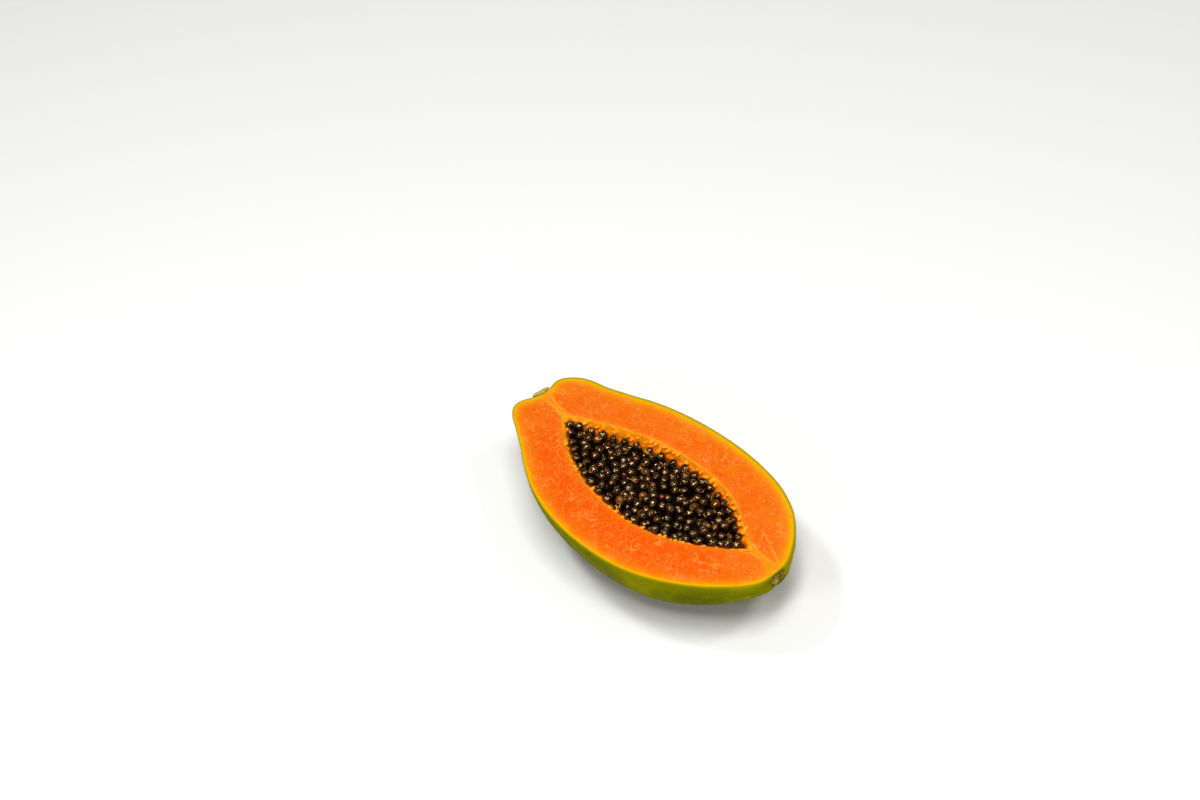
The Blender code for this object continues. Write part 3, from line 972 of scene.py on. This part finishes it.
def flesh_finish():
    """Orange flesh: yellow at the rim, pale lines round the cavity and to both ends, short curved threads of
    painted highlight, each with a darker line of painted shade beside it.
    """
    flesh = Finish("papaya_flesh", {
        "Roughness": 0.4,
        "Specular IOR Level": 0.012,
        "Subsurface Weight": 0.08,
        "Subsurface Radius": (1.0, 0.35, 0.12),
        "Subsurface Scale": 2.2 * MM,
    })
    rim = flesh.value("rim_distance")
    cavity = flesh.value("cavity_distance")
    ragged = flesh.sway(flesh.noise(5.0, 3.0, 0.3), 3.2)
    shifted = flesh.math("ADD", rim, flesh.math("MULTIPLY", ragged, flesh.between(rim, 0.2, 3.0)))
    widened = flesh.math("DIVIDE", shifted, flesh.between(flesh.axis("Y"), -30.0, 35.0, 1.0, FAR_RIM_SHARE))
    colour = flesh.ramp(flesh.math("DIVIDE", widened, RIM_RAMP), (
        (0.0, srgb(132, 128, 4)),
        (0.028, srgb(192, 164, 3)),
        (0.07, srgb(246, 188, 3)),
        (0.15, srgb(253, 164, 5)),
        (0.25, srgb(253, 136, 9)),
        (0.42, srgb(253, 116, 9)),
        (0.7, srgb(253, 104, 7)),
        (1.0, srgb(252, 97, 5)),
    ))
    ends = flesh.math("POWER", flesh.math("MULTIPLY", flesh.axis("X"), 1 / END_DISTANCE), 2.0)
    across = flesh.math("MULTIPLY", flesh.axis("Y"), 1 / SIDE_DISTANCE)
    riper = flesh.math("ADD", flesh.math("MULTIPLY", ends, 0.5), across)
    riper = flesh.math("ADD", riper, flesh.math("SUBTRACT", flesh.noise(16.0, 2.0, 0.3, 14.0), 0.5))
    inner = flesh.between(rim, 3.0, 8.0)
    paler = flesh.math("MULTIPLY", flesh.between(riper, -0.3, 1.0, 0.0, 0.75), flesh.between(rim, 2.0, 6.0))
    colour = flesh.mix(colour, srgb(253, 132, 26), paler)
    patches = flesh.between(flesh.noise(9.0, 2.0, 0.4, 2.0), 0.35, 0.65)
    redder = flesh.math("MULTIPLY", flesh.math("MULTIPLY", patches, inner), 0.4)
    colour = flesh.mix(colour, srgb(251, 86, 2), redder)
    pale_patches = flesh.between(flesh.noise(4.0, 3.0, 0.6, 3.0), 0.5, 0.8)
    colour = flesh.mix(colour, srgb(255, 134, 30), flesh.math("MULTIPLY", pale_patches, 0.5))
    clear_of_rim = flesh.between(rim, 1.0, 4.0)
    # Threads: pale painted highlights on the wet flesh, each with a darker line of painted shade beside it,
    # for an embossed look.
    for size, width, seed, strength in FLESH_HIGHLIGHT_THREADS:
        beside = flesh.threads(size, width, seed, 0.5 + 1.6 * width)
        beside = flesh.math("MULTIPLY", beside, flesh.math("MULTIPLY", inner, 0.6 * strength))
        colour = flesh.mix(colour, srgb(248, 76, 0), beside)
        lines = flesh.math("MULTIPLY", flesh.threads(size, width, seed), strength)
        colour = flesh.mix(colour, srgb(255, 158, 66), flesh.math("MULTIPLY", lines, clear_of_rim))
    glow = flesh.between(cavity, 0.4, 3.4, 0.4, 0.0)
    colour = flesh.mix(colour, srgb(255, 138, 14), glow)
    wobble = flesh.sway(flesh.noise(3.0, 1.0, 0.0, 6.0), 0.5)
    core = flesh.between(flesh.math("ADD", flesh.value("core_distance"), wobble), 0.6, 3.0, 0.75, 0.0)
    colour = flesh.mix(colour, srgb(254, 156, 16), core)
    vein = flesh.between(flesh.math("ADD", flesh.value("vein_distance"), wobble), 0.0, 0.85, 1.0, 0.0)
    faint = flesh.between(flesh.noise(5.5, 1.0, 0.0, 21.0), 0.36, 0.62, 0.25, 0.75)
    colour = flesh.mix(colour, srgb(255, 178, 66), flesh.math("MULTIPLY", vein, faint))
    flesh.colour(colour)
    rough = flesh.noise(2.2, 3.0, 0.4, 8.0)
    flesh.roughness(flesh.between(rough, 0.3, 0.7, 0.28, 0.48))
    soft = flesh.bump(flesh.noise(3.2, 3.0, 0.8, 9.0), 0.30)
    flesh.normal(flesh.bump(flesh.noise(0.7, 2.0, 0.2, 11.0), 0.05, soft))
    return flesh.material


def pulp_finish():
    """The cavity's wall: glossy amber pulp, with pale patches of painted highlight, turning darker deeper
    down as painted shade.
    """
    pulp = Finish("papaya_pulp", {
        "Roughness": 0.22,
        "Specular IOR Level": 0.1,
        "Specular Tint": (1.0, 0.8, 0.45, 1.0),
        "Subsurface Weight": 0.3,
        "Subsurface Radius": (1.0, 0.7, 0.3),
        "Subsurface Scale": 0.7 * MM,
    })
    depth = pulp.value("depth")
    # Painted shade: the pulp turns darker the deeper it lies in the cavity.
    colour = pulp.ramp(pulp.math("DIVIDE", depth, 10.0), (
        (0.0, srgb(255, 176, 50)),
        (0.08, srgb(255, 156, 14, light=1.0)),
        (0.4, srgb(255, 138, 4, light=1.0)),
        (0.75, srgb(252, 122, 2, light=1.0)),
        (1.0, srgb(190, 78, 2, light=1.0)),
    ))
    # Painted highlights: pale patches on the glossy pulp.
    pale = pulp.between(pulp.noise(2.6, 2.0, 0.6), 0.54, 0.74)
    colour = pulp.mix(colour, srgb(255, 196, 84, light=1.0), pulp.math("MULTIPLY", pale, 0.55))
    pulp.colour(colour)
    pulp.normal(pulp.bump(pulp.noise(2.4, 1.0, 0.6, 4.0), 0.3))
    return pulp.material


def skin_finish():
    """Olive-green skin turning yellow in patches, darker toward the bottom as painted shade, with fine pores
    and scattered darker dots.
    """
    skin = Finish("papaya_skin", {
        "Roughness": 0.42,
        "Specular IOR Level": 0.002,
    })
    broad = skin.noise(38.0, 2.0, 0.5, 1.0)
    mottled = skin.noise(7.0, 5.0, 0.6, 2.0, roughness=0.62)
    ripeness = skin.math("ADD", skin.math("MULTIPLY", broad, 0.6), skin.math("MULTIPLY", mottled, 0.4))
    ripeness = skin.math("ADD", ripeness, skin.between(skin.axis("Y"), -5.0, 25.0, 0.0, 0.22))
    colour = skin.ramp(ripeness, (
        (0.28, srgb(90, 100, 0)),
        (0.42, srgb(119, 124, 0)),
        (0.55, srgb(145, 142, 0)),
        (0.66, srgb(176, 162, 1)),
        (0.78, srgb(206, 174, 2)),
    ))
    depth = skin.value("depth")
    # Painted shade: the skin darkens toward the bottom, the deeper it lies under the cut.
    colour = skin.mix(colour, srgb(62, 74, 0), skin.between(depth, 8.0, 40.0, 0.0, 0.6))
    below = skin.math("ADD", depth, skin.math("MULTIPLY", skin.noise(5.0, 3.0, 0.3, 3.0), 1.6))
    colour = skin.mix(colour, srgb(160, 152, 1), skin.between(below, 0.6, 4.0, 0.65, 0.0))
    colour = skin.mix(colour, srgb(192, 170, 2), skin.between(depth, 0.1, 0.8, 0.8, 0.0))
    for size, radius, seed, dot_colour, strength in SKIN_DOTS:
        dots = skin.between(skin.cells(size, seed), radius * 0.4, radius, strength, 0.0)
        kept = skin.between(skin.noise(size * 1.7, 0.0, 0.0, seed + 4.0), 0.46, 0.56)
        colour = skin.mix(colour, srgb(*dot_colour), skin.math("MULTIPLY", dots, kept))
    scar = skin.value("scar")
    uneven_scar = skin.sway(skin.noise(1.6, 3.0), 1.6)
    ragged_scar = skin.math("ADD", scar, uneven_scar)
    near_scar = skin.between(scar, 7.0, 8.0, 1.0, 0.0)
    centre = skin.between(ragged_scar, 3.4, 4.8, 1.0, 0.0)
    streaks = skin.noise(2.2, 2.0, 0.2, 9.0)
    scarred = skin.ramp(streaks, (
        (0.34, srgb(122, 80, 26)),
        (0.43, srgb(142, 112, 34)),
        (0.5, srgb(152, 140, 40)),
        (0.68, srgb(190, 172, 92)),
    ))
    colour = skin.mix(colour, scarred, skin.math("MULTIPLY", centre, near_scar))
    inside_ring = skin.between(ragged_scar, 4.7, 5.6, 1.0, 0.0)
    ring = skin.math("MULTIPLY", skin.between(ragged_scar, 3.6, 4.3), inside_ring)
    brown = skin.math("MULTIPLY", ring, skin.between(skin.noise(3.4, 1.0, 0.0, 12.0), 0.44, 0.6))
    colour = skin.mix(colour, srgb(78, 50, 14), skin.math("MULTIPLY", brown, 0.7))
    skin.colour(colour)
    skin.roughness(skin.between(skin.noise(3.0, 3.0, 0.0, 6.0), 0.3, 0.7, 0.36, 0.50))
    pores = skin.bump(skin.noise(1.1, 2.0, 0.2, 7.0), 0.07)
    uneven = skin.bump(skin.noise(6.0, 3.0, 0.5, 8.0), 0.35, pores)
    wrinkles = skin.math("MULTIPLY", skin.noise(0.9, 2.0, 1.2, 10.0), skin.between(scar, 4.5, 6.0, 1.0, 0.0))
    skin.normal(skin.bump(wrinkles, 0.5, uneven))
    return skin.material


def seed_finish():
    """Glossy black-brown seeds, some of them still pale round their scar."""
    seed = Finish("papaya_seed", {
        "Roughness": 0.07,
        "IOR": 1.7,
        "Specular IOR Level": 1.0,
        "Specular Tint": (1.0, 0.62, 0.28, 1.0),
    })
    tone = seed.value("tone")
    colour = seed.ramp(tone, (
        (0.0, srgb(5, 2, 1)),
        (0.6, srgb(16, 7, 1)),
        (0.86, srgb(42, 20, 3)),
        (0.96, srgb(84, 42, 6)),
        (1.0, srgb(128, 66, 10)),
    ))
    from_scar = seed.value("from_scar")
    blotch = seed.between(seed.noise(1.3, 2.0, 0.5, 2.0), 0.45, 0.7)
    colour = seed.mix(colour, srgb(104, 54, 8), seed.math("MULTIPLY", blotch, 0.22))
    pale = seed.between(from_scar, 0.05, 0.17, 0.5, 0.0)
    colour = seed.mix(colour, srgb(128, 92, 56), seed.math("MULTIPLY", pale, seed.between(tone, 0.2, 0.7)))
    seed.colour(colour)
    seed.normal(seed.bump(seed.noise(1.1, 1.0, 0.6, 3.0), 0.2))
    return seed.material


def bed_and_shade_finish():
    """Pulp under the seeds: amber by the wall, and almost black further in as painted shade in the deep gaps
    between the seeds.
    """
    bed = Finish("papaya_seed_bed_painted_shade", {
        "Roughness": 0.2,
        "Specular IOR Level": 0.15,
        "Specular Tint": (1.0, 0.7, 0.35, 1.0),
    })
    from_wall = bed.value("from_wall")
    uneven = bed.sway(bed.noise(3.4, 3.0, 0.6), 5.0)
    ragged = bed.math("ADD", from_wall, uneven)
    # Amber pulp by the wall; further in, the near-black is painted shade between and under the seeds.
    colour = bed.ramp(bed.math("DIVIDE", ragged, 8.0), (
        (0.0, srgb(255, 160, 26, light=1.0)),
        (0.25, srgb(250, 132, 8, light=1.0)),
        (0.45, srgb(150, 66, 4)),
        (0.6, srgb(30, 12, 2)),
        (0.75, srgb(8, 4, 1)),
    ))
    bed.colour(colour)
    bed.normal(bed.bump(bed.noise(1.4, 3.0, 0.8, 2.0), 0.4))
    return bed.material


def sac_finish():
    """The torn edges of the sacs and the drops of jelly: amber, glossy and a little translucent."""
    sac = Finish("papaya_sac", {
        "Roughness": 0.15,
        "Subsurface Weight": 0.3,
        "Subsurface Radius": (1.0, 0.7, 0.3),
        "Subsurface Scale": 0.3 * MM,
    })
    colour = sac.ramp(sac.value("tone"), (
        (0.0, srgb(98, 60, 6)),
        (0.5, srgb(164, 112, 12)),
        (0.85, srgb(212, 150, 20)),
        (1.0, srgb(244, 182, 50)),
    ))
    sac.colour(sac.mix(colour, srgb(50, 26, 5), sac.between(sac.noise(1.8, 2.0), 0.45, 0.65, 0.0, 0.7)))
    sac.normal(sac.bump(sac.noise(0.5, 2.0), 0.06))
    return sac.material


def stub_finish():
    """The stub: pale olive where it is cut, with darker bark outside."""
    stub = Finish("papaya_stub", {"Roughness": 0.55})
    streaks = stub.noise(0.7, 3.0, 0.4, 1.0, at=stub.vector("MULTIPLY", stub.places, (0.35, 1.0, 1.0)))
    cut = stub.ramp(streaks, (
        (0.3, srgb(168, 158, 56)),
        (0.5, srgb(186, 174, 78)),
        (0.7, srgb(202, 188, 98)),
    ))
    bark = stub.ramp(stub.noise(1.5, 4.0, 0.5, 2.0), (
        (0.3, srgb(78, 74, 16)),
        (0.55, srgb(126, 122, 34)),
        (0.75, srgb(152, 144, 52)),
    ))
    colour = stub.mix(bark, cut, stub.value("on_cut"))
    stub.colour(colour)
    stub.normal(stub.bump(streaks, 0.1))
    return stub.material


# Stage, light and camera


def build_stage():
    mesh = bpy.data.meshes.new("floor")
    half = FLOOR_SIZE / 2
    corners = [(-half, -half, 0.0), (half, -half, 0.0), (half, half, 0.0), (-half, half, 0.0)]
    mesh.from_pydata(corners, [], [(0, 1, 2, 3)])
    floor = bpy.data.objects.new("floor", mesh)
    bpy.context.scene.collection.objects.link(floor)
    finish = Finish("floor_white", {"Base Color": srgb(*FLOOR_COLOUR, light=1.0), "Roughness": 0.7})
    mesh.materials.append(finish.material)
    world = bpy.data.worlds.new("studio")
    world.use_nodes = True
    background = world.node_tree.nodes["Background"]
    background.inputs["Color"].default_value = srgb(255, 255, 255, light=1.0)
    background.inputs["Strength"].default_value = WORLD_STRENGTH
    bpy.context.scene.world = world


def add_light(name, place, size, power):
    data = bpy.data.lights.new(name, "AREA")
    data.shape = "RECTANGLE"
    data.size, data.size_y = size
    data.energy = power
    light = bpy.data.objects.new(name, data)
    light.location = place
    light.rotation_euler = (LIGHT_TARGET - Vector(place)).to_track_quat("-Z", "Y").to_euler()
    bpy.context.scene.collection.objects.link(light)


def add_camera():
    back = Vector((
        math.sin(VIEW_AZIMUTH) * math.cos(VIEW_ELEVATION),
        -math.cos(VIEW_AZIMUTH) * math.cos(VIEW_ELEVATION),
        math.sin(VIEW_ELEVATION),
    ))
    level = Vector((math.cos(VIEW_AZIMUTH), math.sin(VIEW_AZIMUTH), 0.0))
    upright = back.cross(level)
    right = level * math.cos(VIEW_ROLL) + upright * math.sin(VIEW_ROLL)
    up = upright * math.cos(VIEW_ROLL) - level * math.sin(VIEW_ROLL)
    data = bpy.data.cameras.new("camera")
    data.lens = LENS
    data.clip_start = 0.01
    camera = bpy.data.objects.new("camera", data)
    camera.matrix_world = Matrix.Translation(VIEW_TARGET + back * VIEW_DISTANCE) @ Matrix(
        (right, up, back)).transposed().to_4x4()
    bpy.context.scene.collection.objects.link(camera)
    bpy.context.scene.camera = camera


def fit(piece, node):
    """The piece stands for a node of the solids, whose part it hides, and rides on the body."""
    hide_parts(node)
    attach(piece, "root")


bpy.context.scene.view_settings.view_transform = "Standard"
add_camera()
build_stage()
for light in LIGHTS:
    add_light(*light)
pulp_material = pulp_finish()
fit(build_half(skin_finish(), flesh_finish(), pulp_material), "fruit_half")
fit(build_lumps(pulp_material), "fruit_half")
shown_seeds = all_seeds()
fit(build_seeds(shown_seeds, seed_finish()), "seeds")
fit(build_sacs(shown_seeds, sac_finish()), "seeds")
fit(build_bed(bed_and_shade_finish()), "seeds")
fit(build_stub(stub_finish()), "stem_stub")
